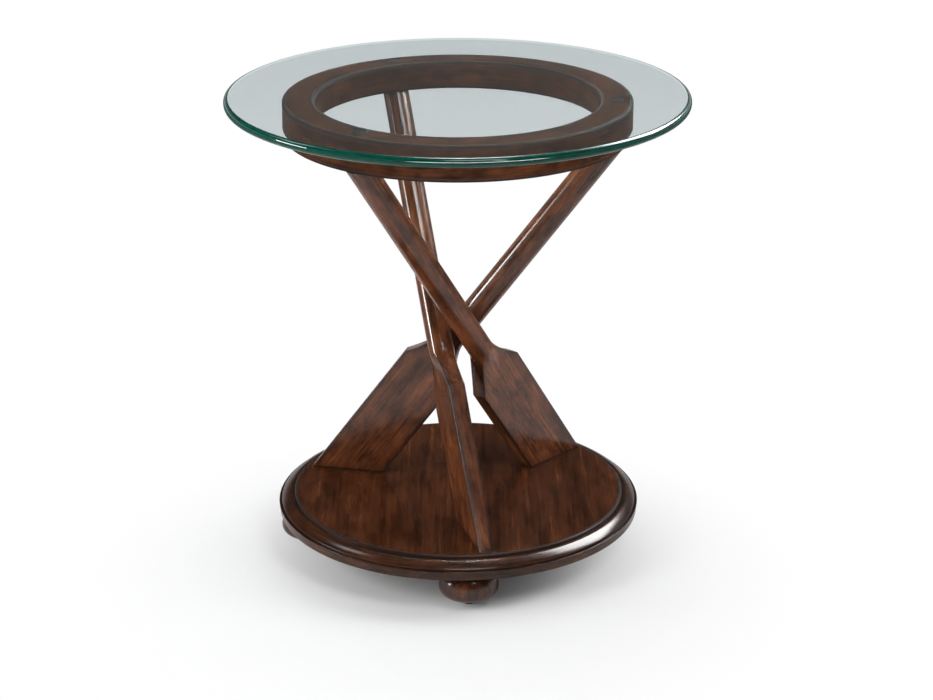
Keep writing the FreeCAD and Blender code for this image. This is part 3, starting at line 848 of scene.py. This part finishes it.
def softbox(name, place, aim, size, radiance, gloss=True, diffuse=True):
    """A studio lamp that fills, or shows as a highlight, or both."""
    light = bpy.data.lights.new(name, "AREA")
    light.shape = "RECTANGLE"
    light.size, light.size_y = size
    light.energy = radiance * size[0] * size[1] * LAMP_WATTS
    lamp = bpy.data.objects.new(name, light)
    lamp.location = place
    lamp.rotation_euler = (Vector(aim) - Vector(place)).to_track_quat("-Z", "Y").to_euler()
    lamp.visible_camera = False
    lamp.visible_glossy = gloss
    lamp.visible_diffuse = diffuse
    bpy.context.scene.collection.objects.link(lamp)
    return lamp


def fill(name, place, radiance):
    return softbox(name, place, BASE_MIDDLE, FILL_SIZE, radiance, gloss=False)


def highlight(name, place, aim, size, radiance):
    return softbox(name, place, aim, size, radiance, diffuse=False)


def make_lamps():
    softbox("left_softbox", (-3.80, -0.48, 0.98), TABLE_MIDDLE, (1.3, 0.5), 30.0)
    fill("left_fill", (-2.80, -1.96, 2.08), 13.5)
    fill("right_fill", (1.24, -2.12, 3.16), 7.0)
    fill("right_side_fill", (2.85, 0.50, 2.05), 8.0)
    highlight("right_back_gloss", (1.50, 1.00, 1.90), RIM_RIGHT, (1.5, 1.2), 19.0)
    highlight("back_gloss", (0.06, 1.10, 2.21), RIM_FRONT, (0.4, 0.45), 26.0)
    highlight("left_back_gloss", (-1.49, 0.49, 2.18), RIM_FRONT, (0.5, 0.5), 6.0)
    highlight("front_top_gloss", (0.47, -2.61, 4.51), RIM_FRONT, (1.76, 0.88), 8.0)
    highlight("front_gloss", (1.10, -2.82, 2.60), PANEL_MIDDLE, (0.35, 0.35), 14.0)
    for number in range(STRIP_COUNT):
        turn = math.radians(STRIP_FIRST + STRIP_STEP * number)
        forward = GLASS_FRONT[1] - STRIP_DISTANCE * math.cos(turn)
        place = (STRIP_DISTANCE * math.sin(turn), forward, STRIP_LEVEL)
        name = f"glass_edge_gloss_{number + 1}"
        strip = highlight(name, place, GLASS_FRONT, STRIP_SIZE, STRIP_RADIANCE)
        strip.data.spread = STRIP_SPREAD


# The photo's frame in pixels, and the camera that a perspective fit of it gives.
PHOTO_WIDTH = 933
FOCAL_PIXELS = 2439.92
CAMERA_PLACE = (0.011214, -3.02130, 1.42689)
CAMERA_PITCH = math.radians(20.9378)
SENSOR_WIDTH = 36.0


def make_camera():
    data = bpy.data.cameras.new("camera")
    data.sensor_fit = "HORIZONTAL"
    data.sensor_width = SENSOR_WIDTH
    data.lens = FOCAL_PIXELS * SENSOR_WIDTH / PHOTO_WIDTH
    camera = bpy.data.objects.new("camera", data)
    camera.location = CAMERA_PLACE
    camera.rotation_euler = (math.pi / 2 - CAMERA_PITCH, 0, 0)
    bpy.context.scene.collection.objects.link(camera)
    bpy.context.scene.camera = camera


# The table, with how light each wood is stained and where its grain is cut from; the second oar
# is stained lighter than the others, as painted light.

OAR_TINTS_WITH_PAINTED_LIGHT = (1.52, 1.95, 1.50)
OAR_GRAIN_STEP = (0.31, 0.17, 1.30)
for index in range(OAR_COUNT):
    cut = tuple(step * index for step in OAR_GRAIN_STEP)
    oar_wood = wood(f"oar_wood_{index + 1}", along_oar, cut, OAR_TINTS_WITH_PAINTED_LIGHT[index], vertex_glaze_and_shade)
    dress(make_oar(index), oar_wood)

rim_wood = wood("rim_wood", around(base_radius), (0.0, 0.0, 0.4), 0.66, vertex_glaze_and_shade,
                specular=0.33)
dress(make_rim(), rim_wood)
make_glass()

ring_wood = wood("ring_wood", around(ring_outer), (0.5, 0.0, 0.0), 0.76, ring_glaze,
                 darkening_roughness=0.60, specular=0.16)
dress_nodes(["top_ring"], ring_wood)
panel_veneer = wood("panel_veneer", along_depth, (0.2, 0.0, 0.6), 0.74, panel_glaze_and_shade,
                    darkening_roughness=0.25, specular=0.3)
dress_nodes(["base_panel"], panel_veneer)
foot_wood = wood("foot_wood", along_oar, (0.9, 0.3, 0.0), 0.78, feet_glaze_and_shade)
dress_nodes(numbered("bun_foot", 4), foot_wood)

dress_nodes(numbered("glass_bumper", 3), moulded("bumper_rubber", (0.009, 0.008, 0.008), 0.8))
dress_nodes(numbered("foot_glide", 4), moulded("glide_plastic", (0.016, 0.015, 0.014), 0.4))
dress_nodes(
    ["ring_bolts", "ring_washers", "blade_bolts", "blade_washers", "foot_hanger_bolts"],
    metal("zinc_steel", (0.56, 0.57, 0.58), (0.34, 0.34, 0.33), 0.34),
)
dress_nodes(
    ["oar_head_inserts", "blade_foot_inserts", "foot_inserts"],
    metal("turned_brass", (0.72, 0.52, 0.23), (0.42, 0.29, 0.12), 0.30),
)

make_floor()
make_world()
make_lamps()
make_camera()
bpy.context.scene.view_settings.view_transform = "Standard"
